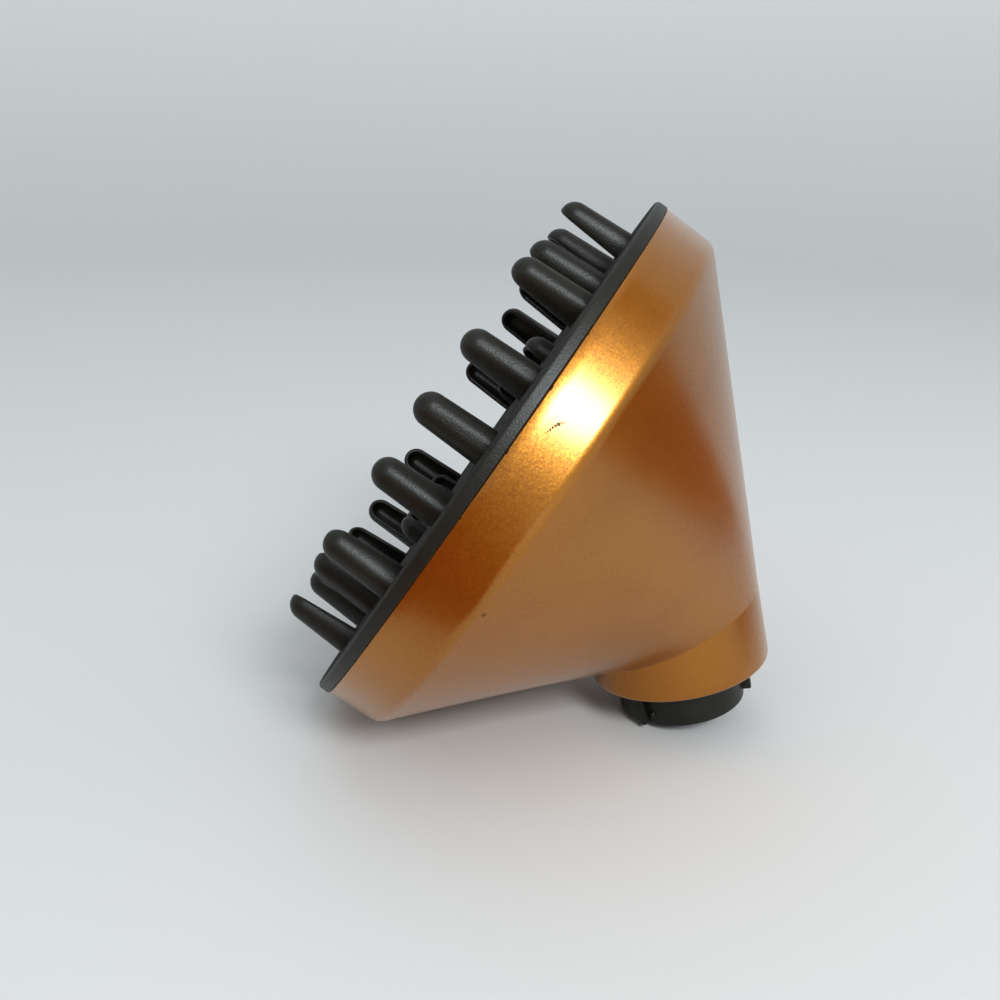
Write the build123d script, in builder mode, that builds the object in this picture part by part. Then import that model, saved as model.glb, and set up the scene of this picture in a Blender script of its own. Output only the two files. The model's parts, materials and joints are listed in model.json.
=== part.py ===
from build123d import *
import math
import os

# Dryer diffuser lying at rest, all sizes in millimetres and degrees.
# +Z is up and the floor is z = 0. The bowl opens toward -X, the neck is toward +X,
# and the XZ plane is the plane of symmetry. The origin is under the middle of the object.

# Painted bowl: a short band behind the rim, a skewed cone and a round neck
wall = 2.0
rim_radius = 67.6
knee_radius = 67.3
band_depth = 12.6
knee_rounding = 4.0
neck_radius = 21.5
mouth_rounding = 0.8
bend = 43.9                 # between the neck's axis and the face's axis
neck_to_crossing = 24.2     # from the neck's mouth up to where the two axes cross
crossing_to_rim = 49.4      # from there along the face's axis to the rim
crease_height = 11.2        # height of the neck's crease on the neck's axis
crease_slope = 16.8         # the crease is higher on the side away from the bowl

# Face plate that closes the bowl
plate_thickness = 2.9
plate_radius = 67.9
plate_edge_rounding = 1.0
register_thickness = 1.8
register_depth = 4.0
fit_gap = 0.3
hook_count = 6
hook_width = 8.0
hook_length = 6.5
hook_barb = 0.6
groove_height = 2.0

# Prongs: three rings of ten, each prong hollow on the side that faces the centre
ring_count = 10
ring_step = 360 / ring_count
long_prong_height = 16.0
long_tip_radius = 3.4
long_foot_half_width = 3.85
long_tip_thickness = 3.8
long_foot_thickness = 5.8
stub_height = 5.7
stub_tip_radius = 3.2
stub_foot_half_width = 3.35
stub_tip_thickness = 3.4
stub_foot_thickness = 4.0
outer_ring_radius = 56.2
middle_ring_radius = 50.2
inner_ring_radius = 27.2
long_edge_rounding = 2.4
stub_edge_rounding = 2.2
prong_rim = 1.1             # width of the rim left around the hollow
prong_back = 1.3            # what is left of the prong behind the hollow

# Vents in the face plate
slot_width = 2.6
slot_inner_radius = 33.0
slot_outer_radius = 44.0
slot_count = 20
centre_hole_radius = 2.2
centre_hole_ring = 19.0

# Connector collar under the neck
collar_radius = 14.2
collar_length = 10.4
collar_bore = 12.2
flange_thickness = 2.4
flange_recess = 0.5
collar_edge_rounding = 0.5
lug_count = 2
lug_angle = 20.0            # middle of the first lug, turned from the +X side
lug_arc = 54.0
lug_reach = 2.0
lug_rise = 1.3              # bottom of the lugs above the collar's mouth
lug_height = 6.0
stop_arc = 6.0
stop_rise = 0.4
pip_angle = 58.0            # detent pip beside each lug's stop
pip_radius = 0.8
pip_rise = 3.0

# Screws, and the bosses they go into
screw_count = 3
screw_circle = 16.9
screw_radius = 1.0
screw_head_radius = 1.8
screw_head_height = 1.2
screw_length = 7.0
boss_radius = 3.0
boss_height = 7.0

# Air deflector behind the middle of the face plate
deflector_radius = 20.0
deflector_thickness = 1.6
deflector_rise = 7.0
deflector_gap = 9.0
post_circle = 12.0
post_radius = 2.4


def tilted_plane(x, z, lean):
    """A plane whose normal leans from upright toward -X, with its own x axis in XZ."""
    s = math.sin(math.radians(lean))
    c = math.cos(math.radians(lean))
    return Plane(origin=(x, 0, z), x_dir=(c, 0, s), z_dir=(-s, 0, c))


def resting_lean():
    """Lean of the neck when the knee and the collar's edge both touch the floor."""
    s = math.sin(math.radians(bend))
    c = math.cos(math.radians(bend))
    # the knee's corner and the crease below the bowl, across and along the neck's axis
    knee_from_crossing = crossing_to_rim - band_depth
    corner_across = -knee_from_crossing * s - knee_radius * c
    corner_along = neck_to_crossing + knee_from_crossing * c - knee_radius * s
    crease_along = crease_height - neck_radius * math.tan(math.radians(crease_slope))
    cone_angle = math.atan2(crease_along - corner_along, -neck_radius - corner_across)
    corner_angle = math.pi / 2 + math.radians(bend) - cone_angle
    # centre of the knee's rounding, set back from the corner toward the rim and the axis
    set_back = knee_rounding / math.tan(corner_angle / 2)
    centre_across = corner_across - set_back * s + knee_rounding * c
    centre_along = corner_along + set_back * c + knee_rounding * s
    across = centre_across + collar_radius - collar_edge_rounding
    along = centre_along + collar_length - collar_edge_rounding
    drop = knee_rounding - collar_edge_rounding
    reach = math.hypot(across, along)
    return math.degrees(math.atan2(across, along) + math.acos(drop / reach))


lean = resting_lean()
face_lean = lean + bend
lean_sin = math.sin(math.radians(lean))
lean_cos = math.cos(math.radians(lean))
face_sin = math.sin(math.radians(face_lean))
face_cos = math.cos(math.radians(face_lean))

# Rim centre seen from the neck's mouth, in the resting pose
rim_from_neck_x = -neck_to_crossing * lean_sin - crossing_to_rim * face_sin
rim_from_neck_z = neck_to_crossing * lean_cos + crossing_to_rim * face_cos

# The object reaches from the lowest prong's tip to the neck's mouth
tip_rounding_out = outer_ring_radius + long_tip_thickness / 2 - long_edge_rounding
tip_rounding_up = plate_thickness + long_prong_height - long_edge_rounding
tip_reach = tip_rounding_out * face_cos + tip_rounding_up * face_sin + long_edge_rounding
lowest_x = rim_from_neck_x - tip_reach
highest_x = (neck_radius - mouth_rounding) * lean_cos
highest_x += mouth_rounding * (1 - lean_sin)
neck_x = -(lowest_x + highest_x) / 2
neck_z = (collar_radius - collar_edge_rounding) * lean_sin + collar_edge_rounding
neck_z += (collar_length - collar_edge_rounding) * lean_cos

neck_plane = tilted_plane(neck_x, neck_z, lean)
rim_plane = tilted_plane(neck_x + rim_from_neck_x, neck_z + rim_from_neck_z, face_lean)
knee_plane = rim_plane.offset(-band_depth)
front_plane = rim_plane.offset(plate_thickness)


def crease_plane(height):
    """The slanted plane in which the cone meets the neck."""
    return tilted_plane(
        neck_x - height * lean_sin, neck_z + height * lean_cos, lean + crease_slope
    )


def bowl_form(inset):
    """The bowl as one solid form from rim to neck, drawn in from its skin by inset."""
    neck_across = neck_radius - inset
    slope_cos = math.cos(math.radians(crease_slope))
    knee = knee_plane.offset(inset * 0.5)
    crease = crease_plane(crease_height + inset * 0.6)
    with BuildPart() as form:
        with BuildSketch(rim_plane):
            Circle(rim_radius - inset)
        with BuildSketch(knee):
            Circle(knee_radius - inset)
        loft(ruled=True)
        with BuildSketch(knee):
            Circle(knee_radius - inset)
        with BuildSketch(crease):
            Ellipse(neck_across / slope_cos, neck_across)
        loft(ruled=True)
        with BuildSketch(neck_plane):
            Circle(neck_across)
        with BuildSketch(crease):
            Ellipse(neck_across / slope_cos, neck_across)
        loft(ruled=True)
    return form.part


def tapered_prong(ring_radius, angle, height, tip_radius, foot_half_width,
                  tip_thickness, foot_thickness, rounding):
    """One hollow prong standing on the face plate, its hollow toward the centre."""
    turn = math.radians(angle)
    outward = front_plane.x_dir * math.cos(turn) + front_plane.y_dir * math.sin(turn)
    sideways = front_plane.y_dir * math.cos(turn) - front_plane.x_dir * math.sin(turn)
    centre = front_plane.origin
    inner_face = ring_radius - foot_thickness / 2
    wide_view = Plane(centre + outward * inner_face, x_dir=sideways, z_dir=outward)
    side_view = Plane(centre, x_dir=outward, z_dir=-sideways)
    tip_centre = height - tip_radius
    # the straight sides meet the round tip at this angle above its centre
    slant = math.hypot(foot_half_width, tip_centre)
    touch = math.acos(tip_radius / slant) - math.atan2(tip_centre, foot_half_width)

    def outline(inset):
        radius = tip_radius - inset
        foot = foot_half_width - inset
        out = radius * math.cos(touch)
        up = tip_centre + radius * math.sin(touch)
        with BuildSketch(wide_view) as sketch:
            with BuildLine():
                Polyline((-out, up), (-foot, 0), (foot, 0), (out, up))
                ThreePointArc((out, up), (0, tip_centre + radius), (-out, up))
            make_face()
        return sketch.sketch

    with BuildPart() as prong:
        extrude(outline(0), amount=foot_thickness, dir=outward)
        with BuildSketch(side_view):
            with BuildLine():
                Polyline(
                    (ring_radius - foot_thickness / 2, 0),
                    (ring_radius + foot_thickness / 2, 0),
                    (ring_radius + tip_thickness / 2, height),
                    (ring_radius - tip_thickness / 2, height),
                    close=True,
                )
            make_face()
        extrude(amount=foot_half_width, both=True, mode=Mode.INTERSECT)
        outer_face = prong.faces().sort_by(lambda face: face.center().dot(outward))[-1]
        foot_level = centre.dot(front_plane.z_dir)
        tall_edges = outer_face.edges().filter_by(
            lambda edge: edge.center().dot(front_plane.z_dir) > foot_level + 0.1
        )
        fillet(tall_edges, rounding)
        depth = (foot_thickness + tip_thickness) / 2 - prong_back
        extrude(outline(prong_rim), amount=depth, dir=outward, mode=Mode.SUBTRACT)
    return prong


def save(piece, name):
    piece.part.label = name
    export_step(piece.part, f"parts/{name}.step")


os.makedirs("parts", exist_ok=True)

# Bowl shell: one moulding, open at the rim and at the neck
bowl_outside = bowl_form(0)
bowl_inside = bowl_form(wall)
with BuildPart() as bowl_shell:
    add(bowl_outside)
    knee_edges = bowl_shell.edges().filter_by(
        lambda edge: abs(knee_plane.to_local_coords(edge.center()).Z) < 0.01
    )
    fillet(knee_edges, knee_rounding)
    mouth_edges = bowl_shell.edges().filter_by(
        lambda edge: abs(neck_plane.to_local_coords(edge.center()).Z) < 0.01
    )
    fillet(mouth_edges, mouth_rounding)
    add(bowl_inside, mode=Mode.SUBTRACT)
    # groove inside the band for the face plate's hooks
    groove_inner = rim_radius - wall - 1
    with BuildSketch(rim_plane.offset(-hook_length)):
        Circle(rim_radius - wall + hook_barb + fit_gap)
        Circle(groove_inner, mode=Mode.SUBTRACT)
    extrude(amount=groove_height, mode=Mode.SUBTRACT)
    # bosses for the collar's screws, on the inside of the neck
    boss_floor = flange_recess + flange_thickness
    with BuildSketch(neck_plane.offset(boss_floor)):
        with PolarLocations(screw_circle, screw_count, start_angle=60):
            Circle(boss_radius)
        Circle(neck_radius - wall / 2, mode=Mode.INTERSECT)
    extrude(amount=boss_height)
    with BuildSketch(neck_plane.offset(boss_floor)):
        with PolarLocations(screw_circle, screw_count, start_angle=60):
            Circle(screw_radius)
    extrude(amount=boss_height - 1, mode=Mode.SUBTRACT)
save(bowl_shell, "bowl_shell")


# Face plate: a disc with a register ring and snap hooks that plug into the band
band_taper = (rim_radius - knee_radius) / band_depth
register_outer = rim_radius - wall - fit_gap - hook_length * band_taper
register_inner = register_outer - register_thickness
long_slot_depth = (long_foot_thickness + long_tip_thickness) / 2 - prong_back
stub_slot_depth = (stub_foot_thickness + stub_tip_thickness) / 2 - prong_back
with BuildPart() as face_plate:
    with BuildSketch(rim_plane):
        Circle(plate_radius)
    extrude(amount=plate_thickness)
    front_face = face_plate.faces().sort_by(Axis(rim_plane.origin, rim_plane.z_dir))[-1]
    fillet(front_face.edges(), plate_edge_rounding)
    with BuildSketch(rim_plane):
        Circle(register_outer)
        Circle(register_inner, mode=Mode.SUBTRACT)
    extrude(amount=-register_depth)
    # hooks: tabs cut from a longer ring, with a barb that snaps into the band's groove
    with BuildSketch(rim_plane):
        with PolarLocations(register_inner + register_thickness / 2, hook_count,
                            start_angle=ring_step / 2):
            Rectangle(register_thickness * 2, hook_width)
        Circle(register_outer, mode=Mode.INTERSECT)
        Circle(register_inner, mode=Mode.SUBTRACT)
    extrude(amount=-hook_length)
    with BuildSketch(rim_plane.offset(-hook_length + fit_gap)):
        with PolarLocations(register_outer, hook_count, start_angle=ring_step / 2):
            Rectangle(register_thickness * 2, hook_width - 2)
        Circle(register_outer + hook_barb, mode=Mode.INTERSECT)
        Circle(register_inner, mode=Mode.SUBTRACT)
    extrude(amount=groove_height - 2 * fit_gap)
    # the prongs' hollows run on through the plate
    with BuildSketch(front_plane):
        long_slot_width = 2 * (long_foot_half_width - prong_rim)
        for radius, start in ((outer_ring_radius, 0), (middle_ring_radius, ring_step / 2)):
            slot_middle = radius - long_foot_thickness / 2 + long_slot_depth / 2
            with PolarLocations(slot_middle, ring_count, start_angle=start):
                Rectangle(long_slot_depth, long_slot_width)
        slot_middle = inner_ring_radius - stub_foot_thickness / 2 + stub_slot_depth / 2
        with PolarLocations(slot_middle, ring_count):
            Rectangle(stub_slot_depth, 2 * (stub_foot_half_width - prong_rim))
    extrude(amount=-plate_thickness, mode=Mode.SUBTRACT)
    # air slots between the stubs and the long prongs, and holes inside the stubs
    with BuildSketch(front_plane):
        slot_length = slot_outer_radius - slot_inner_radius
        with PolarLocations(slot_inner_radius + slot_length / 2, slot_count,
                            start_angle=ring_step / 4):
            SlotOverall(slot_length, slot_width)
        with PolarLocations(centre_hole_ring, ring_count, start_angle=ring_step / 2):
            Circle(centre_hole_radius)
    extrude(amount=-plate_thickness, mode=Mode.SUBTRACT)
    # posts that hold the air deflector
    with BuildSketch(rim_plane):
        with PolarLocations(post_circle, screw_count):
            Circle(post_radius)
    extrude(amount=-deflector_gap)
    with BuildSketch(rim_plane.offset(-deflector_gap)):
        with PolarLocations(post_circle, screw_count):
            Circle(screw_radius)
    extrude(amount=screw_length, mode=Mode.SUBTRACT)
save(face_plate, "face_plate")

# Air deflector: a shallow cone behind the plate that spreads the air to the slots
deflector_plane = rim_plane.offset(-deflector_gap)
with BuildPart() as air_deflector:
    with BuildSketch(Plane(deflector_plane.origin, x_dir=deflector_plane.x_dir,
                           z_dir=-deflector_plane.y_dir)):
        flat = post_circle + post_radius + 1
        with BuildLine():
            Polyline(
                (0, 0),
                (flat, 0),
                (deflector_radius, deflector_rise / 2),
                (deflector_radius, deflector_rise / 2 - deflector_thickness),
                (flat, -deflector_thickness),
                (0, -deflector_thickness),
                close=True,
            )
        make_face()
    revolve(axis=Axis(deflector_plane.origin, deflector_plane.z_dir))
    with BuildSketch(deflector_plane):
        with PolarLocations(post_circle, screw_count):
            Circle(screw_radius + fit_gap)
    extrude(amount=-deflector_thickness, mode=Mode.SUBTRACT)
save(air_deflector, "air_deflector")

# Deflector screws: heads under the deflector, shanks in the posts
under_deflector = deflector_plane.offset(-deflector_thickness)
with BuildPart() as deflector_screws:
    with BuildSketch(under_deflector):
        with PolarLocations(post_circle, screw_count):
            Circle(screw_head_radius)
    extrude(amount=-screw_head_height)
    with BuildSketch(under_deflector):
        with PolarLocations(post_circle, screw_count):
            Circle(screw_radius)
    extrude(amount=screw_length)
save(deflector_screws, "deflector_screws")

# Connector collar: a flange inside the neck's mouth, and a spigot with bayonet lugs
flange_plane = neck_plane.offset(flange_recess)
mouth_plane = neck_plane.offset(-collar_length)
with BuildPart() as connector_collar:
    with BuildSketch(flange_plane):
        Circle(neck_radius - wall - fit_gap / 2)
    extrude(amount=flange_thickness)
    with BuildSketch(mouth_plane):
        Circle(collar_radius)
    extrude(amount=collar_length + flange_recess)
    edges_upward = connector_collar.edges().group_by(Axis(neck_plane.origin, neck_plane.z_dir))
    fillet(edges_upward[0], collar_edge_rounding)
    # each lug is an arc round the spigot, with a taller stop at one end
    wedge_length = 2 * collar_radius
    lug_spread = wedge_length * math.tan(math.radians(lug_arc / 2))
    with BuildSketch(mouth_plane.offset(lug_rise)):
        with PolarLocations(0, lug_count, start_angle=lug_angle):
            Polygon((0, 0), (wedge_length, -lug_spread), (wedge_length, lug_spread), align=None)
        Circle(collar_radius + lug_reach, mode=Mode.INTERSECT)
    extrude(amount=lug_height)
    stop_spread = wedge_length * math.tan(math.radians(stop_arc / 2))
    stop_angle = lug_angle + (lug_arc + stop_arc) / 2
    with BuildSketch(mouth_plane.offset(stop_rise)):
        with PolarLocations(0, lug_count, start_angle=stop_angle):
            Polygon((0, 0), (wedge_length, -stop_spread), (wedge_length, stop_spread), align=None)
        Circle(collar_radius + lug_reach, mode=Mode.INTERSECT)
    extrude(amount=lug_rise + lug_height - stop_rise)
    # detent pips, half sunk in the spigot's side
    for number in range(lug_count):
        pip_turn = math.radians(pip_angle + number * 360 / lug_count)
        pip_x = collar_radius * math.cos(pip_turn)
        pip_y = collar_radius * math.sin(pip_turn)
        with Locations(mouth_plane.from_local_coords(Vector(pip_x, pip_y, pip_rise))):
            Sphere(pip_radius)
    with BuildSketch(mouth_plane):
        Circle(collar_bore)
    extrude(amount=collar_length + flange_recess + flange_thickness, mode=Mode.SUBTRACT)
    with BuildSketch(flange_plane):
        with PolarLocations(screw_circle, screw_count, start_angle=60):
            Circle(screw_radius + fit_gap / 2)
    extrude(amount=flange_thickness, mode=Mode.SUBTRACT)
save(connector_collar, "connector_collar")

# Collar screws: heads under the flange, shanks in the neck's bosses
with BuildPart() as collar_screws:
    with BuildSketch(flange_plane):
        with PolarLocations(screw_circle, screw_count, start_angle=60):
            Circle(screw_head_radius)
    extrude(amount=-screw_head_height)
    with BuildSketch(flange_plane):
        with PolarLocations(screw_circle, screw_count, start_angle=60):
            Circle(screw_radius)
    extrude(amount=screw_length)
save(collar_screws, "collar_screws")

# The three rings of prongs; the middle ring stands between the prongs of the outer one
for number in range(ring_count):
    outer_prong = tapered_prong(
        outer_ring_radius, number * ring_step, long_prong_height, long_tip_radius,
        long_foot_half_width, long_tip_thickness, long_foot_thickness, long_edge_rounding,
    )
    save(outer_prong, f"outer_prong_{number + 1:02d}")
    middle_prong = tapered_prong(
        middle_ring_radius, (number + 0.5) * ring_step, long_prong_height, long_tip_radius,
        long_foot_half_width, long_tip_thickness, long_foot_thickness, long_edge_rounding,
    )
    save(middle_prong, f"middle_prong_{number + 1:02d}")
    inner_stub = tapered_prong(
        inner_ring_radius, number * ring_step, stub_height, stub_tip_radius,
        stub_foot_half_width, stub_tip_thickness, stub_foot_thickness, stub_edge_rounding,
    )
    save(inner_stub, f"inner_stub_{number + 1:02d}")
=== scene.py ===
import json
import math
import bmesh
import bpy
from mathutils import Matrix, Vector


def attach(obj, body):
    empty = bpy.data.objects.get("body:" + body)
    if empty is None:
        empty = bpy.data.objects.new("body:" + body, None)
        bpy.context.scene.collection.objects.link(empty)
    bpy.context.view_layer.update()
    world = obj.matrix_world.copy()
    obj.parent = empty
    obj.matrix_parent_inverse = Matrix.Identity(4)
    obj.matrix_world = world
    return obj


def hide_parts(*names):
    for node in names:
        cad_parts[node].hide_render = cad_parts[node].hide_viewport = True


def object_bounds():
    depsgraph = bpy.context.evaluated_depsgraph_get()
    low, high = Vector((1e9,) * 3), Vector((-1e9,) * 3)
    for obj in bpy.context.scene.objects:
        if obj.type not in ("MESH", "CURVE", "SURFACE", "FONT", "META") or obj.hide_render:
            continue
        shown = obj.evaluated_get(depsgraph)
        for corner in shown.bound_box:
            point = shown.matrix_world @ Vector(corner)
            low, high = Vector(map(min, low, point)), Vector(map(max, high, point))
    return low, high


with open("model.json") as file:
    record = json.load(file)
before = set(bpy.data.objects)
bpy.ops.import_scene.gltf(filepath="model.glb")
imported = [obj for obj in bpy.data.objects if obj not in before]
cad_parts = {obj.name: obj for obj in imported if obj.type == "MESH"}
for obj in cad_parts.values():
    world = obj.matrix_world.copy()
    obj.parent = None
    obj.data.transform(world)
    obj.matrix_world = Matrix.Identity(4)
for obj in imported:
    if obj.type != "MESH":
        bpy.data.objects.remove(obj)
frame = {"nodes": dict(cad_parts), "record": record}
cad_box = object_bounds()

# The object's two axes. The neck's axis is read from the collar's bore, and the face's
# axis leans on from it by the bend of the moulding. Sizes are in metres.
collar_bore = next(m for m in frame["record"]["mounts"] if m["name"] == "collar_bore")
neck_axis = -Vector(collar_bore["axis"]).normalized()
collar_length = 0.0104
neck_mouth = Vector(collar_bore["pos_m"]) + neck_axis * collar_length
bend = math.radians(43.9)
mouth_to_cross = 0.0242
cross_to_rim = 0.0494
face_axis = Matrix.Rotation(-bend, 3, "Y") @ neck_axis
axes_cross = neck_mouth + neck_axis * mouth_to_cross
rim_centre = axes_cross + face_axis * cross_to_rim
sideways = Vector((0, 1, 0))


def place(origin, axis):
    """Matrix that stands a piece made along +Z at origin, along axis, its +X kept in XZ."""
    across = sideways.cross(axis)
    turn = Matrix((across, sideways, axis)).transposed().to_4x4()
    return Matrix.Translation(origin) @ turn


def finished(name, mesh, material, smooth_angle=40):
    """Puts a finished mesh in the scene as one piece of the object."""
    piece = bpy.data.objects.new(name, mesh)
    bpy.context.scene.collection.objects.link(piece)
    mesh.materials.clear()
    mesh.materials.append(material)
    mesh.shade_smooth()
    mesh.set_sharp_from_angle(angle=math.radians(smooth_angle))
    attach(piece, "root")
    return piece


# Copper paint on the bowl: metal flake under a thin satin lacquer. The flakes lie at
# slightly different angles, so they sparkle one by one near a highlight.
def new_material(name):
    """A node material, its shader and the place on the piece that its patterns follow."""
    material = bpy.data.materials.new(name)
    material.use_nodes = True
    nodes = material.node_tree.nodes
    shader = nodes["Principled BSDF"]
    place_on_piece = nodes.new("ShaderNodeTexCoord")
    return material, shader, place_on_piece.outputs["Object"]


def add_node(material, kind, inputs=None, **settings):
    """A node with some inputs linked to outputs or set to values, and some settings."""
    node = material.node_tree.nodes.new(kind)
    for key, value in settings.items():
        setattr(node, key, value)
    for key, value in (inputs or {}).items():
        if isinstance(value, bpy.types.NodeSocket):
            material.node_tree.links.new(value, node.inputs[key])
        else:
            node.inputs[key].default_value = value
    return node


def link(material, output, target):
    """Joins two sockets of a material's nodes."""
    material.node_tree.links.new(output, target)


copper_paint, copper_shader, copper_place = new_material("copper_paint")
flake_size = 0.00024
flake_angle = 0.075
flakes = add_node(copper_paint, "ShaderNodeTexVoronoi",
                  {"Vector": copper_place, "Scale": 1 / flake_size})
flake_tilt = add_node(copper_paint, "ShaderNodeVectorMath",
                      {0: flakes.outputs["Color"], 1: (0.5, 0.5, 0.5)},
                      operation="SUBTRACT")
flake_lean = add_node(copper_paint, "ShaderNodeVectorMath",
                      {0: flake_tilt.outputs[0], "Scale": flake_angle}, operation="SCALE")
surface = add_node(copper_paint, "ShaderNodeNewGeometry")
tilted = add_node(copper_paint, "ShaderNodeVectorMath",
                  {0: surface.outputs["Normal"], 1: flake_lean.outputs[0]})
flake_normal = add_node(copper_paint, "ShaderNodeVectorMath",
                        {0: tilted.outputs[0]}, operation="NORMALIZE")
link(copper_paint, flake_normal.outputs[0], copper_shader.inputs["Normal"])
cloud = add_node(copper_paint, "ShaderNodeTexNoise",
                 {"Vector": copper_place, "Scale": 45.0, "Detail": 3.0})
flake_value = add_node(copper_paint, "ShaderNodeSeparateColor",
                       {"Color": flakes.outputs["Color"]})
paint_mix = add_node(copper_paint, "ShaderNodeMath",
                     {0: flake_value.outputs[0], 1: 0.5, 2: cloud.outputs["Fac"]},
                     operation="MULTIPLY_ADD")
paint_colour = add_node(copper_paint, "ShaderNodeValToRGB", {"Fac": paint_mix.outputs[0]})
paint_colour.color_ramp.elements[0].position = 0.35
paint_colour.color_ramp.elements[0].color = (0.355, 0.132, 0.010, 1)
paint_colour.color_ramp.elements[1].position = 0.95
paint_colour.color_ramp.elements[1].color = (0.425, 0.176, 0.017, 1)
copper_shader.inputs["Roughness"].default_value = 0.36
copper_shader.inputs["Specular IOR Level"].default_value = 0.1
copper_shader.inputs["Coat Roughness"].default_value = 0.23
copper_shader.inputs["Coat IOR"].default_value = 1.50


# Bowl shell: one painted moulding, open at the rim and the neck. A short band runs back
# from the rim to a rounded knee, a skewed cone runs to a slanted crease, then the neck.
wall = 0.002
rim_radius = 0.0676
knee_radius = 0.0673
band_depth = 0.0126
knee_rounding = 0.004
neck_radius = 0.0215
crease_height = 0.0112
crease_slope = math.radians(16.8)
crease_rounding = 0.0007
mouth_rounding = 0.0008
lip_rounding = 0.0003


def rounded_corner(before, corner, after, radius, steps):
    """Points of an arc that rounds a corner between the ways to before and to after."""
    back = (before - corner).normalized()
    on = (after - corner).normalized()
    half = back.angle(on) / 2
    centre = corner + (back + on).normalized() * (radius / math.sin(half))
    start = corner + back * (radius / math.tan(half)) - centre
    end = corner + on * (radius / math.tan(half)) - centre
    return [centre + start.slerp(end, step / steps) * radius for step in range(steps + 1)]


def bowl_corners(angle, inset):
    """Rim, knee, crease and mouth points of the bowl's skin at one angle round it."""
    c = math.cos(angle)
    s = math.sin(angle)
    face_across = sideways.cross(face_axis)
    neck_across = sideways.cross(neck_axis)
    slope_axis = Matrix.Rotation(-crease_slope, 3, "Y") @ neck_axis
    slope_across = sideways.cross(slope_axis)
    out = face_across * c + sideways * s
    rim = rim_centre + out * (rim_radius - inset)
    knee = rim_centre - face_axis * (band_depth - inset * 0.5) + out * (knee_radius - inset)
    half_width = neck_radius - inset
    crease = neck_mouth + neck_axis * (crease_height + inset * 0.6)
    crease += slope_across * (c * half_width / math.cos(crease_slope)) + sideways * (s * half_width)
    mouth = neck_mouth + (neck_across * c + sideways * s) * half_width
    return rim, knee, crease, mouth


def between(start, end, steps):
    """Evenly spaced points inside a straight stretch, without its ends."""
    return [start.lerp(end, step / steps) for step in range(1, steps)]


def bowl_section(angle):
    """Closed outline of the bowl's wall at one angle, outer skin first."""
    rim, knee, crease, mouth = bowl_corners(angle, 0)
    rim_in, knee_in, crease_in, mouth_in = bowl_corners(angle, wall)
    lip = rounded_corner(rim_in, rim, knee, lip_rounding, 2)
    knee_arc = rounded_corner(rim, knee, crease, knee_rounding, 10)
    crease_arc = rounded_corner(knee, crease, mouth, crease_rounding, 4)
    mouth_arc = rounded_corner(crease, mouth, mouth_in, mouth_rounding, 4)
    mouth_arc_in = rounded_corner(mouth, mouth_in, crease_in, lip_rounding, 2)
    crease_arc_in = rounded_corner(mouth_in, crease_in, knee_in, crease_rounding, 2)
    knee_arc_in = rounded_corner(crease_in, knee_in, rim_in, wall, 4)
    lip_in = rounded_corner(knee_in, rim_in, rim, lip_rounding, 2)
    return (
        lip + between(lip[-1], knee_arc[0], 4)
        + knee_arc + between(knee_arc[-1], crease_arc[0], 14)
        + crease_arc + between(crease_arc[-1], mouth_arc[0], 4)
        + mouth_arc + mouth_arc_in + between(mouth_arc_in[-1], crease_arc_in[0], 3)
        + crease_arc_in + between(crease_arc_in[-1], knee_arc_in[0], 6)
        + knee_arc_in + between(knee_arc_in[-1], lip_in[0], 2) + lip_in
    )


def skin(name, sections, closed_round=True):
    """Mesh of quads over a list of equal point loops, each loop closed on itself."""
    mesh = bpy.data.meshes.new(name)
    shape = bmesh.new()
    loops = [[shape.verts.new(point) for point in section] for section in sections]
    pairs = list(zip(loops, loops[1:]))
    if closed_round:
        pairs.append((loops[-1], loops[0]))
    else:
        shape.faces.new(loops[0])
        shape.faces.new(reversed(loops[-1]))
    for first, second in pairs:
        for index in range(len(first)):
            ahead = (index + 1) % len(first)
            shape.faces.new((first[index], second[index], second[ahead], first[ahead]))
    bmesh.ops.recalc_face_normals(shape, faces=shape.faces)
    shape.to_mesh(mesh)
    shape.free()
    return mesh


bowl_steps = 240
bowl_mesh = skin("bowl", [bowl_section(2 * math.pi * i / bowl_steps) for i in range(bowl_steps)])
bowl = finished("bowl", bowl_mesh, copper_paint, 60)
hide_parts("bowl_shell")


# Marks in the bowl's paint: a short scratch with a blot on the band, a dark pit and a faint
# rub on the cone, and specks worn off round the rim's edge. The bare plastic there is dull,
# so a mark takes away the paint's metal and its lacquer.
def on_skin(turn, depth):
    """Point of the outer skin at an angle round the bowl, this far behind the rim."""
    outline = bowl_section(math.radians(turn))
    for near, far in zip(outline, outline[1:]):
        start = (rim_centre - near).dot(face_axis)
        end = (rim_centre - far).dot(face_axis)
        if start <= depth < end:
            return near.lerp(far, (depth - start) / (end - start))
    raise ValueError("the bowl has no skin at that depth")


speck_shape = add_node(copper_paint, "ShaderNodeTexNoise",
                       {"Vector": copper_place, "Scale": 2400.0, "Detail": 2.0})
speck_ragged = 0.0007
speck_solid = 0.00032
speck_soft = 0.00008


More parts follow.
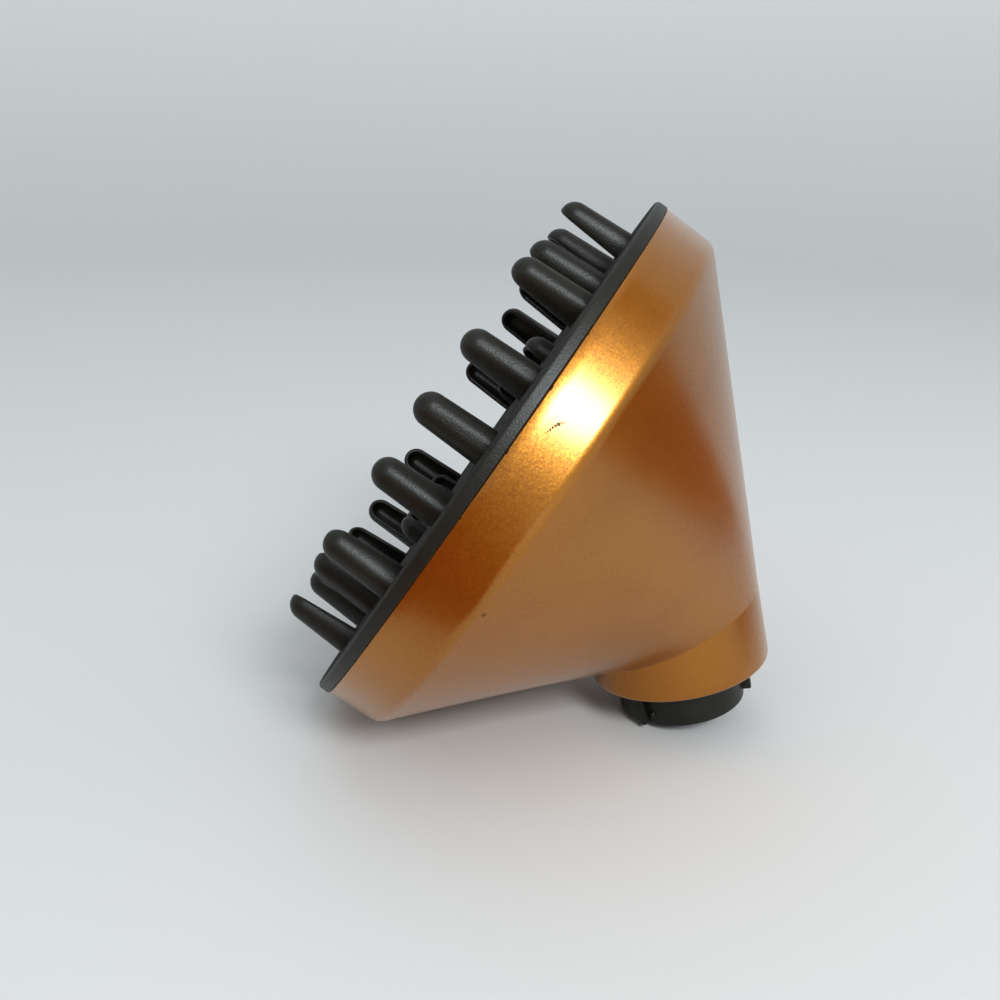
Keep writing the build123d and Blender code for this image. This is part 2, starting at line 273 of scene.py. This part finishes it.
def specks(marks, first, last, count, sizes, strength):
    """Adds a run of ragged specks to the mask of marks, from one (turn, depth) to another."""
    for step in range(count):
        part = step / max(count - 1, 1)
        turn = first[0] + (last[0] - first[0]) * part
        depth = first[1] + (last[1] - first[1]) * part
        size = sizes[0] + (sizes[1] - sizes[0]) * part
        away = add_node(copper_paint, "ShaderNodeVectorMath",
                        {0: copper_place, 1: on_skin(turn, depth)}, operation="DISTANCE")
        ragged = add_node(copper_paint, "ShaderNodeMath", {
            0: speck_shape.outputs["Fac"], 1: speck_ragged, 2: away.outputs["Value"],
        }, operation="MULTIPLY_ADD")
        speck = add_node(copper_paint, "ShaderNodeMapRange", {
            "Value": ragged.outputs[0], "From Min": size + speck_solid + speck_soft,
            "From Max": size + speck_solid, "To Max": strength})
        marks = add_node(copper_paint, "ShaderNodeMath",
                         {0: marks, 1: speck.outputs["Result"]}, operation="MAXIMUM").outputs[0]
    return marks


behind_rim = add_node(copper_paint, "ShaderNodeVectorMath",
                      {0: copper_place, 1: rim_centre}, operation="SUBTRACT")
behind_rim = add_node(copper_paint, "ShaderNodeVectorMath",
                      {0: behind_rim.outputs[0], 1: face_axis}, operation="DOT_PRODUCT")
rim_noise = add_node(copper_paint, "ShaderNodeTexNoise",
                     {"Vector": copper_place, "Scale": 420.0, "Detail": 3.0})
rim_wear = add_node(copper_paint, "ShaderNodeMath",
                    {0: rim_noise.outputs["Fac"], 1: 0.003, 2: behind_rim.outputs["Value"]},
                    operation="MULTIPLY_ADD")
rim_wear = add_node(copper_paint, "ShaderNodeMapRange",
                    {"Value": rim_wear.outputs[0], "From Min": 0.00165, "From Max": 0.00180})
marks = rim_wear.outputs["Result"]
# the scratch, its blot and its far end
marks = specks(marks, (-65.0, 0.00385), (-63.2, 0.0046), 5, (0.00014, 0.00024), 0.9)
marks = specks(marks, (-62.7, 0.0049), (-62.7, 0.0049), 1, (0.00038, 0.00038), 0.9)
marks = specks(marks, (-62.3, 0.00525), (-62.0, 0.0055), 2, (0.0002, 0.00014), 0.9)
# the pit and the rub
marks = specks(marks, (-94.3, 0.0141), (-94.3, 0.0141), 1, (0.00042, 0.00042), 0.75)
marks = specks(marks, (-96.9, 0.0267), (-95.2, 0.0277), 3, (0.00042, 0.00042), 0.12)
marked = add_node(copper_paint, "ShaderNodeMix", {
    0: marks, 6: paint_colour.outputs["Color"], 7: (0.055, 0.024, 0.008, 1)}, data_type="RGBA")
link(copper_paint, marked.outputs[2], copper_shader.inputs["Base Color"])
for socket, painted in (("Metallic", 0.9), ("Coat Weight", 0.95)):
    strength = add_node(copper_paint, "ShaderNodeMapRange",
                        {"Value": marks, "To Min": painted, "To Max": 0.0})
    link(copper_paint, strength.outputs["Result"], copper_shader.inputs[socket])

# Dark plastic of the face plate, the prongs and the collar: moulded with a fine satin
# grain that breaks the highlights into small specks.
dark_plastic, dark_shader, dark_place = new_material("dark_plastic")
grain = add_node(dark_plastic, "ShaderNodeTexNoise",
                 {"Vector": dark_place, "Scale": 2800.0, "Detail": 2.0, "Roughness": 0.6})
grain_bump = add_node(dark_plastic, "ShaderNodeBump",
                      {"Height": grain.outputs["Fac"], "Strength": 0.4, "Distance": 0.0002})
link(dark_plastic, grain_bump.outputs["Normal"], dark_shader.inputs["Normal"])
wear = add_node(dark_plastic, "ShaderNodeTexNoise",
                {"Vector": dark_place, "Scale": 120.0, "Detail": 4.0})
dark_colour = add_node(dark_plastic, "ShaderNodeValToRGB", {"Fac": wear.outputs["Fac"]})
dark_colour.color_ramp.elements[0].position = 0.3
dark_colour.color_ramp.elements[0].color = (0.0122, 0.0124, 0.0088, 1)
dark_colour.color_ramp.elements[1].position = 0.75
dark_colour.color_ramp.elements[1].color = (0.0180, 0.0183, 0.0132, 1)
link(dark_plastic, dark_colour.outputs["Color"], dark_shader.inputs["Base Color"])
dark_shader.inputs["Roughness"].default_value = 0.40
dark_shader.inputs["Specular IOR Level"].default_value = 0.42

# Prongs: hollow half-capsules, each with its hollow toward the centre. Their outer side
# is crowned, and the two long rings of ten are set half a step apart.
plate_thickness = 0.0029


def prong_mesh(name, height, tip_radius, foot_half_width, tip_thickness, foot_thickness):
    """One prong standing on z = 0 at the origin, its hollow toward -X."""
    rim_width = 0.0011
    floor_back = 0.0013
    edge = 0.00022
    sink = 0.0004
    tip_centre = height - tip_radius
    slant = math.hypot(foot_half_width, tip_centre)
    touch = math.acos(tip_radius / slant) - math.atan2(tip_centre, foot_half_width)
    side_steps = 10
    tip_steps = 20

    def outline(inset, out):
        """Open loop round the prong, inset from its side, out from its inner face."""
        points = []
        radius = tip_radius - inset
        foot = foot_half_width - inset
        top = Vector((radius * math.cos(touch), tip_centre + radius * math.sin(touch)))
        for step in range(side_steps):
            points.append(Vector((foot, -sink)).lerp(top, step / side_steps))
        for step in range(tip_steps + 1):
            turn = touch + (math.pi - 2 * touch) * step / tip_steps
            points.append(Vector((radius * math.cos(turn), tip_centre + radius * math.sin(turn))))
        for step in reversed(range(side_steps)):
            points.append(Vector((-foot, -sink)).lerp(Vector((-top.x, top.y)), step / side_steps))
        loop = []
        for y, z in points:
            thickness = foot_thickness + (tip_thickness - foot_thickness) * max(z, 0) / height
            loop.append(Vector((thickness * (out - 0.5), y, z)))
        return loop

    # from the hollow's floor, over the rim, round the crowned back to its ridge
    floor_out = 1 - floor_back / tip_thickness
    crown_steps = 12
    trough = tip_radius * 0.96 - rim_width
    across = []
    for step in range(crown_steps):
        turn = math.pi / 2 * (1 - step / crown_steps)
        across.append((rim_width + trough * (1 - math.cos(turn)),
                       0.06 + (floor_out - 0.06) * math.sin(turn)))
    across += [(rim_width, 0.06), (rim_width - edge, 0.0), (edge, 0.0), (0.0, 0.06), (0.0, 0.2)]
    for step in range(1, crown_steps + 1):
        turn = math.pi / 2 * step / crown_steps
        across.append((tip_radius * 0.96 * (1 - math.cos(turn)), 0.2 + 0.8 * math.sin(turn)))
    loops = [outline(inset, out) for inset, out in across]
    mesh = bpy.data.meshes.new(name)
    shape = bmesh.new()
    grid = [[shape.verts.new(point) for point in loop] for loop in loops]
    for first, second in zip(grid, grid[1:]):
        for index in range(len(first) - 1):
            shape.faces.new((first[index], first[index + 1], second[index + 1], second[index]))
    # close the two ridges and the foot
    for loop in (grid[0], grid[-1]):
        last = len(loop) - 1
        for index in range(last // 2):
            corners = [loop[index], loop[index + 1], loop[last - index - 1], loop[last - index]]
            if corners[1] == corners[2]:
                corners.pop(2)
            shape.faces.new(corners)
    foot_edge = [loop[0] for loop in grid] + [loop[-1] for loop in reversed(grid)]
    shape.faces.new(foot_edge)
    bmesh.ops.remove_doubles(shape, verts=shape.verts, dist=1e-7)
    bmesh.ops.recalc_face_normals(shape, faces=shape.faces)
    shape.to_mesh(mesh)
    shape.free()
    return mesh


def ring_tree(name):
    """Repeats the piece it is given round its +Z axis, moved out to a radius."""
    tree = bpy.data.node_groups.new(name, "GeometryNodeTree")
    face = tree.interface
    face.new_socket("Geometry", in_out="INPUT", socket_type="NodeSocketGeometry")
    face.new_socket("Count", in_out="INPUT", socket_type="NodeSocketInt")
    face.new_socket("Radius", in_out="INPUT", socket_type="NodeSocketFloat")
    face.new_socket("First Angle", in_out="INPUT", socket_type="NodeSocketFloat")
    face.new_socket("Material", in_out="INPUT", socket_type="NodeSocketMaterial")
    face.new_socket("Geometry", in_out="OUTPUT", socket_type="NodeSocketGeometry")
    nodes = tree.nodes
    links = tree.links
    given = nodes.new("NodeGroupInput")
    result = nodes.new("NodeGroupOutput")
    spots = nodes.new("GeometryNodeMeshLine")
    spots.inputs["Offset"].default_value = (0, 0, 0)
    links.new(given.outputs["Count"], spots.inputs["Count"])
    copies = nodes.new("GeometryNodeInstanceOnPoints")
    links.new(spots.outputs["Mesh"], copies.inputs["Points"])
    links.new(given.outputs["Geometry"], copies.inputs["Instance"])
    step = nodes.new("ShaderNodeMath")
    step.operation = "DIVIDE"
    step.inputs[0].default_value = 2 * math.pi
    links.new(given.outputs["Count"], step.inputs[1])
    angle = nodes.new("ShaderNodeMath")
    angle.operation = "MULTIPLY_ADD"
    number = nodes.new("GeometryNodeInputIndex")
    links.new(number.outputs[0], angle.inputs[0])
    links.new(step.outputs[0], angle.inputs[1])
    links.new(given.outputs["First Angle"], angle.inputs[2])
    turn = nodes.new("ShaderNodeCombineXYZ")
    links.new(angle.outputs[0], turn.inputs["Z"])
    turned = nodes.new("GeometryNodeRotateInstances")
    links.new(copies.outputs[0], turned.inputs["Instances"])
    links.new(turn.outputs[0], turned.inputs["Rotation"])
    reach = nodes.new("ShaderNodeCombineXYZ")
    links.new(given.outputs["Radius"], reach.inputs["X"])
    moved = nodes.new("GeometryNodeTranslateInstances")
    links.new(turned.outputs[0], moved.inputs["Instances"])
    links.new(reach.outputs[0], moved.inputs["Translation"])
    real = nodes.new("GeometryNodeRealizeInstances")
    links.new(moved.outputs[0], real.inputs[0])
    painted = nodes.new("GeometryNodeSetMaterial")
    links.new(real.outputs[0], painted.inputs["Geometry"])
    links.new(given.outputs["Material"], painted.inputs["Material"])
    links.new(painted.outputs[0], result.inputs[0])
    return tree


def ring_of(name, single, tree, values):
    """Runs a tree on a single piece and returns the result as a plain mesh."""
    carrier = bpy.data.objects.new(name, single)
    bpy.context.scene.collection.objects.link(carrier)
    modifier = carrier.modifiers.new("repeat", "NODES")
    modifier.node_group = tree
    for item in tree.interface.items_tree:
        if item.in_out == "INPUT" and item.name in values:
            modifier[item.identifier] = values[item.name]
    bpy.context.view_layer.update()
    graph = bpy.context.evaluated_depsgraph_get()
    mesh = bpy.data.meshes.new_from_object(carrier.evaluated_get(graph))
    carrier.modifiers.clear()
    bpy.data.objects.remove(carrier)
    return mesh


around = ring_tree("around_the_face")
ring_step = 2 * math.pi / 10
outer_ring = 0.0562
middle_ring = 0.0502
stub_ring = 0.0272
plate_front = place(rim_centre + face_axis * plate_thickness, face_axis)
long_sizes = (0.016, 0.0034, 0.00385, 0.0038, 0.0058)
stub_sizes = (0.0057, 0.0032, 0.00335, 0.0034, 0.004)
for ring_name, node_name, sizes, radius, first in (
    ("outer_prongs", "outer_prong", long_sizes, outer_ring, 0.0),
    ("middle_prongs", "middle_prong", long_sizes, middle_ring, ring_step / 2),
    ("inner_stubs", "inner_stub", stub_sizes, stub_ring, 0.0),
):
    single = prong_mesh(ring_name, *sizes)
    mesh = ring_of(ring_name, single, around, {
        "Count": 10, "Radius": radius, "First Angle": first, "Material": dark_plastic,
    })
    mesh.transform(plate_front)
    prongs = finished(ring_name, mesh, dark_plastic, 70)
    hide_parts(*[f"{node_name}_{number:02d}" for number in range(1, 11)])

# Face plate: the moulded disc that closes the bowl. The prongs' hollows run through it,
# long slots lie between the stubs and the long prongs, and round holes inside the stubs.
def turned(name, outline, steps=192):
    """Closed mesh of a closed (radius, height) outline turned round the Z axis."""
    sections = []
    for step in range(steps):
        turn = 2 * math.pi * step / steps
        sections.append([
            Vector((radius * math.cos(turn), radius * math.sin(turn), height))
            for radius, height in outline
        ])
    return skin(name, sections)


def quarter(centre, radius, start, steps=5):
    """(radius, height) points of a quarter circle, from the angle start on, in degrees."""
    return [(centre[0] + radius * math.cos(math.radians(start + 90 * step / steps)),
             centre[1] + radius * math.sin(math.radians(start + 90 * step / steps)))
            for step in range(steps + 1)]


plate_radius = 0.0679
plate_rounding = 0.0010


def prism(name, outline, bottom, top):
    """Closed upright prism over an outline of (x, y) points."""
    sections = [[Vector((x, y, height)) for x, y in outline] for height in (bottom, top)]
    return skin(name, sections, closed_round=False)


def slot_outline(middle, length, width, end_radius):
    """Rounded rectangle about (middle, 0), its length along X."""
    points = []
    for corner, (sx, sy) in enumerate(((1, 1), (-1, 1), (-1, -1), (1, -1))):
        centre = (middle + sx * (length / 2 - end_radius), sy * (width / 2 - end_radius))
        points += quarter(centre, end_radius, 90 * corner, 4)
    return points


def joined(name, meshes):
    """One mesh out of several."""
    shape = bmesh.new()
    for mesh in meshes:
        shape.from_mesh(mesh)
    mesh = bpy.data.meshes.new(name)
    shape.to_mesh(mesh)
    shape.free()
    return mesh


disc = bmesh.new()
disc_rings = []
disc_profile = [(plate_radius - 0.0002, 0.0), (plate_radius, 0.0002)]
disc_profile += quarter((plate_radius - plate_rounding, plate_thickness - plate_rounding),
                        plate_rounding, 0, 7)
for radius, height in disc_profile:
    disc_rings.append([
        disc.verts.new((radius * math.cos(2 * math.pi * i / 240),
                        radius * math.sin(2 * math.pi * i / 240), height))
        for i in range(240)
    ])
disc.faces.new(reversed(disc_rings[0]))
disc.faces.new(disc_rings[-1])
for first, second in zip(disc_rings, disc_rings[1:]):
    for i in range(240):
        ahead = (i + 1) % 240
        disc.faces.new((first[i], first[ahead], second[ahead], second[i]))
disc_mesh = bpy.data.meshes.new("disc")
disc.to_mesh(disc_mesh)
disc.free()

long_hollow_in = 0.00115
stub_hollow_in = 0.0008
slot_ring = 0.0385
hole_ring = 0.019
cutters = []
below, above = -0.001, plate_thickness + 0.001
for outline, count, radius, first in (
    (slot_outline(0, 0.0034, 0.0055, 0.0012), 10, outer_ring - long_hollow_in, 0.0),
    (slot_outline(0, 0.0034, 0.0055, 0.0012), 10, middle_ring - long_hollow_in, ring_step / 2),
    (slot_outline(0, 0.0023, 0.0045, 0.001), 10, stub_ring - stub_hollow_in, 0.0),
    (slot_outline(0, 0.011, 0.0026, 0.0013), 20, slot_ring, ring_step / 4),
    (slot_outline(0, 0.0044, 0.0044, 0.0022), 10, hole_ring, ring_step / 2),
):
    cutters.append(ring_of("vents", prism("vent", outline, below, above), around, {
        "Count": count, "Radius": radius, "First Angle": first, "Material": dark_plastic,
    }))
vents = bpy.data.objects.new("vents", joined("vents", cutters))
bpy.context.scene.collection.objects.link(vents)
plate_blank = bpy.data.objects.new("plate_blank", disc_mesh)
bpy.context.scene.collection.objects.link(plate_blank)
cut = plate_blank.modifiers.new("cut", "BOOLEAN")
cut.object = vents
cut.operation = "DIFFERENCE"
cut.solver = "EXACT"
soften = plate_blank.modifiers.new("soften", "BEVEL")
soften.width = 0.0002
soften.segments = 2
soften.limit_method = "ANGLE"
soften.angle_limit = math.radians(50)
bpy.context.view_layer.update()
plate_mesh = bpy.data.meshes.new_from_object(
    plate_blank.evaluated_get(bpy.context.evaluated_depsgraph_get()))
bpy.data.objects.remove(vents)
bpy.data.objects.remove(plate_blank)

register_ring = turned("register_ring", [
    (0.0636, 0.0002), (0.0636, -0.004), (0.0651, -0.004), (0.0653, -0.0038), (0.0653, 0.0002)])
hook = prism("hook", slot_outline(0.06445, 0.0018, 0.008, 0.0003), -0.0065, 0.0001)
hooks = ring_of("hooks", hook, around, {"Count": 6, "Radius": 0.0, "First Angle": ring_step / 2,
                                        "Material": dark_plastic})
post = prism("post", slot_outline(0.012, 0.0048, 0.0048, 0.0024), -0.009, 0.0001)
posts = ring_of("posts", post, around, {"Count": 3, "Radius": 0.0, "First Angle": 0.0,
                                        "Material": dark_plastic})
plate_mesh = joined("face_plate", [plate_mesh, register_ring, hooks, posts])
plate_mesh.transform(place(rim_centre, face_axis))
# the plate's flat face is duller than its edge band
plate_plastic = dark_plastic.copy()
plate_plastic.name = "plate_plastic"
plate_nodes = plate_plastic.node_tree.nodes
plate_nodes["Principled BSDF"].inputs["Specular IOR Level"].default_value = 0.40
facing = add_node(plate_plastic, "ShaderNodeNewGeometry")
facing = add_node(plate_plastic, "ShaderNodeVectorMath",
                  {0: facing.outputs["True Normal"], 1: face_axis}, operation="DOT_PRODUCT")
facing = add_node(plate_plastic, "ShaderNodeMapRange",
                  {"Value": facing.outputs["Value"], "From Min": 0.9, "From Max": 0.99,
                   "To Min": 0.42, "To Max": 0.90})
link(plate_plastic, facing.outputs["Result"],
     plate_nodes["Principled BSDF"].inputs["Roughness"])
plate = finished("plate", plate_mesh, plate_plastic, 35)
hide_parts("face_plate")

# Air deflector: a shallow dished disc of the same dark plastic. It hangs on the three posts
# behind the plate and turns the air from the neck outward to the vents.
deflector_mesh = turned("deflector", [
    (0.0001, -0.0000), (0.0154, 0.0), (0.0196, 0.0033), (0.02, 0.0033), (0.02, 0.0021),
    (0.0154, -0.0016), (0.0001, -0.0016)], 96)
deflector_mesh.transform(place(rim_centre - face_axis * 0.009, face_axis))
deflector = finished("deflector", deflector_mesh, dark_plastic)
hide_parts("air_deflector")

# Connector collar: a flange screwed inside the neck, and a spigot with two bayonet lugs,
# each an arc with a stop at one end and a detent pip beside it.
spigot_radius = 0.0142
bore_radius = 0.0122
mouth_edge = 0.0005
flange_radius = neck_radius - wall - 0.0002
lug_bottom = 0.0013
lug_top = 0.0073
stop_bottom = 0.0004
pip_radius = 0.0008
pip_height = 0.003
collar_outline = (
    quarter((bore_radius + 0.0003, -collar_length + 0.0003), 0.0003, 180, 3)
    + quarter((spigot_radius - mouth_edge, -collar_length + mouth_edge), mouth_edge, 270, 5)
    + [(spigot_radius, 0.0004), (spigot_radius + 0.0001, 0.0005)]
    + [(flange_radius, 0.0005), (flange_radius, 0.0029)]
    + [(bore_radius, 0.0029)]
)
collar_parts = [turned("collar_body", collar_outline)]


def lug_arc(name, first, last, bottom, top):
    """Arc-shaped lug on the spigot with all its outer edges rounded, heights from the mouth."""
    root = spigot_radius - 0.0006
    reach = 0.0020
    soft = 0.00045
    sections = []
    steps = max(4, round((last - first) / 3))
    stations = [(first, 1.0), (first, 0.45), (first, 0.13), (first, 0.0)]
    stations += [(first + (last - first) * step / steps, 0.0) for step in range(1, steps)]
    stations += [(last, 0.0), (last, 0.13), (last, 0.45), (last, 1.0)]
    for number, (angle, drawn_in) in enumerate(stations):
        side = 1 if number < len(stations) / 2 else -1
        along = soft * (1 - math.sqrt(max(0.0, 1 - (1 - drawn_in) ** 2))) if drawn_in else soft
        turn = math.radians(angle) + side * (along if drawn_in else soft) / spigot_radius
        inset = soft * drawn_in
        outline = [(root, bottom + inset)]
        outline += quarter((spigot_radius + reach - soft, bottom + soft), soft - inset + 1e-5, 270, 4)
        outline += quarter((spigot_radius + reach - soft, top - soft), soft - inset + 1e-5, 0, 4)
        outline.append((root, top - inset))
        sections.append([
            Vector((radius * math.cos(turn), radius * math.sin(turn), height - collar_length))
            for radius, height in outline
        ])
    return skin(name, sections, closed_round=False)


lug = joined("lug", [lug_arc("lug_arc", -7, 48, lug_bottom, lug_top),
                     lug_arc("lug_stop", 46.5, 53, stop_bottom, lug_top)])
pip = bmesh.new()
bmesh.ops.create_uvsphere(pip, u_segments=20, v_segments=12, radius=pip_radius)
pip_turn = math.radians(58)
bmesh.ops.translate(pip, verts=pip.verts, vec=(
    spigot_radius * math.cos(pip_turn), spigot_radius * math.sin(pip_turn),
    pip_height - collar_length))
pip_mesh = bpy.data.meshes.new("pip")
pip.to_mesh(pip_mesh)
pip.free()
collar_parts.append(ring_of("lugs", joined("lug_and_pip", [lug, pip_mesh]), around, {
    "Count": 2, "Radius": 0.0, "First Angle": 0.0, "Material": dark_plastic,
}))
collar_mesh = joined("collar", collar_parts)
collar_mesh.transform(place(neck_mouth, neck_axis))
collar = finished("collar", collar_mesh, dark_plastic, 40)
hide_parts("connector_collar")

# Screws: three hold the deflector to its posts and three hold the collar in the neck. They
# keep the design's shape and are zinc plated steel, faintly brushed.
zinc, zinc_shader, zinc_place = new_material("zinc_steel")
brushed = add_node(zinc, "ShaderNodeTexNoise", {"Vector": zinc_place, "Scale": 900.0})
zinc_rough = add_node(zinc, "ShaderNodeMapRange",
                      {"Value": brushed.outputs["Fac"], "To Min": 0.25, "To Max": 0.45})
link(zinc, zinc_rough.outputs["Result"], zinc_shader.inputs["Roughness"])
zinc_shader.inputs["Base Color"].default_value = (0.56, 0.57, 0.58, 1)
zinc_shader.inputs["Metallic"].default_value = 1.0
for name in ("deflector_screws", "collar_screws"):
    frame["nodes"][name].data.materials.clear()
    frame["nodes"][name].data.materials.append(zinc)

# Floor: a large pale dish, flat under the object and rising softly far away all round, so
# that there is no horizon. It is quite matt, so the cards below don't show in it.
pale, pale_shader, pale_place = new_material("pale_floor")
height_split = add_node(pale, "ShaderNodeSeparateXYZ", {"Vector": pale_place})
lighten = add_node(pale, "ShaderNodeMapRange",
                   {"Value": height_split.outputs["Z"], "From Max": 0.5})
floor_colour = add_node(pale, "ShaderNodeValToRGB", {"Fac": lighten.outputs["Result"]})
floor_colour.color_ramp.elements[0].color = (0.69, 0.70, 0.70, 1)
floor_colour.color_ramp.elements[1].color = (0.93, 0.94, 0.94, 1)
link(pale, floor_colour.outputs["Color"], pale_shader.inputs["Base Color"])
pale_shader.inputs["Roughness"].default_value = 0.9
pale_shader.inputs["Specular IOR Level"].default_value = 0.0
flat_radius = 1.0
sweep = 1.2
dish = bpy.data.meshes.new("floor")
dish_shape = bmesh.new()
outline = [(0.001, 0.0), (flat_radius * 0.3, 0.0), (flat_radius, 0.0)]
for step in range(1, 13):
    turn = math.pi / 2 * step / 12
    outline.append((flat_radius + sweep * math.sin(turn), sweep * (1 - math.cos(turn))))
dish_steps = 96
rings = []
for radius, height in outline:
    rings.append([
        dish_shape.verts.new((radius * math.cos(2 * math.pi * i / dish_steps),
                              radius * math.sin(2 * math.pi * i / dish_steps), height))
        for i in range(dish_steps)
    ])
dish_shape.faces.new(rings[0])
for first, second in zip(rings, rings[1:]):
    for i in range(dish_steps):
        ahead = (i + 1) % dish_steps
        dish_shape.faces.new((first[i], second[i], second[ahead], first[ahead]))
dish_shape.to_mesh(dish)
dish_shape.free()
dish.shade_smooth()
floor = bpy.data.objects.new("floor", dish)
bpy.context.scene.collection.objects.link(floor)
dish.materials.append(pale)

# Light: a pale sky, a soft key lamp high in front on the right and a ceiling lamp. The
# glow and the core round the key lamp are seen only by reflections: they widen and whiten
# the bright spot on the paint without lighting the floor.
sky = bpy.data.worlds.new("sky")
sky.use_nodes = True
sky.node_tree.nodes["Background"].inputs["Color"].default_value = (0.93, 0.97, 1.0, 1)
sky.node_tree.nodes["Background"].inputs["Strength"].default_value = 0.60
bpy.context.scene.world = sky
bpy.context.scene.view_settings.view_transform = "Standard"
bpy.context.scene.view_settings.look = "Medium High Contrast"
middle = (cad_box[0] + cad_box[1]) / 2


def panel(name, direction, distance, width, height, power, colour):
    """Rectangular lamp that faces the object from a direction."""
    light = bpy.data.lights.new(name, "AREA")
    light.shape = "RECTANGLE"
    light.size = width
    light.size_y = height
    light.energy = power
    light.color = colour
    lamp = bpy.data.objects.new(name, light)
    bpy.context.scene.collection.objects.link(lamp)
    toward = Vector(direction).normalized()
    lamp.location = middle + toward * distance
    lamp.rotation_euler = toward.to_track_quat("Z", "Y").to_euler()
    lamp.visible_camera = False


panel("key_lamp", (0.43, -0.69, 0.57), 1.1, 0.36, 0.30, 6.4, (0.98, 0.99, 1.0))
panel("lamp_glow", (0.48, -0.62, 0.62), 1.25, 0.8, 0.45, 1.7, (1.0, 0.98, 0.95))
panel("lamp_core", (0.43, -0.69, 0.57), 1.15, 0.40, 0.34, 2.8, (0.68, 0.86, 1.0))
for sheen_only in ("lamp_glow", "lamp_core"):
    bpy.data.objects[sheen_only].visible_diffuse = False
panel("ceiling_lamp", (-0.1, 0.1, 1.0), 1.3, 1.2, 1.0, 1.1, (0.97, 0.985, 1.0))

# Reflection cards: brown faces low in front and on the right, and one above, that only
# reflections see. They glow faintly brown, a painted reflection that stands for darker and warmer
# surroundings past the pale floor.
painted_reflection_mesh = bpy.data.meshes.new("table_reflection")
painted_reflection_mesh.from_pydata(
    [(-0.9, -0.9, 0.001), (0.13, -0.9, 0.001), (0.01, -0.112, 0.001), (-0.9, -0.112, 0.001),
     (-0.9, -0.9, 0.20), (0.20, -0.9, 0.20),
     (0.9, -0.16, 0.001), (0.9, 0.50, 0.001), (0.205, 0.175, 0.001), (0.19, -0.025, 0.001),
     (0.9, -0.16, 0.05), (0.9, 0.50, 0.03),
     (0.62, -0.10, 0.80), (0.62, 0.22, 0.80), (0.40, 0.22, 0.95), (0.40, -0.10, 0.95)],
    [], [(0, 1, 2, 3), (1, 0, 4, 5), (6, 7, 8, 9), (7, 6, 10, 11), (12, 13, 14, 15)])
painted_reflection_glow = bpy.data.materials.new("painted_reflection_glow")
painted_reflection_glow.use_nodes = True
painted_reflection_shader = painted_reflection_glow.node_tree.nodes["Principled BSDF"]
painted_reflection_shader.inputs["Base Color"].default_value = (0, 0, 0, 1)
painted_reflection_shader.inputs["Specular IOR Level"].default_value = 0.0
# painted reflection: the cards glow faintly brown and show only in reflections on the paint and
# plastic
painted_reflection_shader.inputs["Emission Color"].default_value = (0.34, 0.105, 0.02, 1)
painted_reflection_shader.inputs["Emission Strength"].default_value = 1.0
painted_reflection_mesh.materials.append(painted_reflection_glow)
card = bpy.data.objects.new("table_reflection", painted_reflection_mesh)
bpy.context.scene.collection.objects.link(card)
card.visible_camera = False
card.visible_diffuse = False
card.visible_shadow = False
card.visible_transmission = False

# Camera: in front of the object, a little to its right, looking slightly down. It is placed
# from the neck's mouth, so it follows the object.
camera_data = bpy.data.cameras.new("camera")
camera_data.lens = 38.73
camera_data.clip_start = 0.01
camera = bpy.data.objects.new("camera", camera_data)
bpy.context.scene.collection.objects.link(camera)
camera.location = neck_mouth + Vector((-0.00923, -0.24312, 0.12159))
camera.rotation_euler = (
    Matrix.Rotation(math.radians(8.586), 3, "Z")
    @ Matrix.Rotation(math.radians(90 - 18.804), 3, "X")
    @ Matrix.Rotation(math.radians(1.719), 3, "Z")
).to_euler()
bpy.context.scene.camera = camera
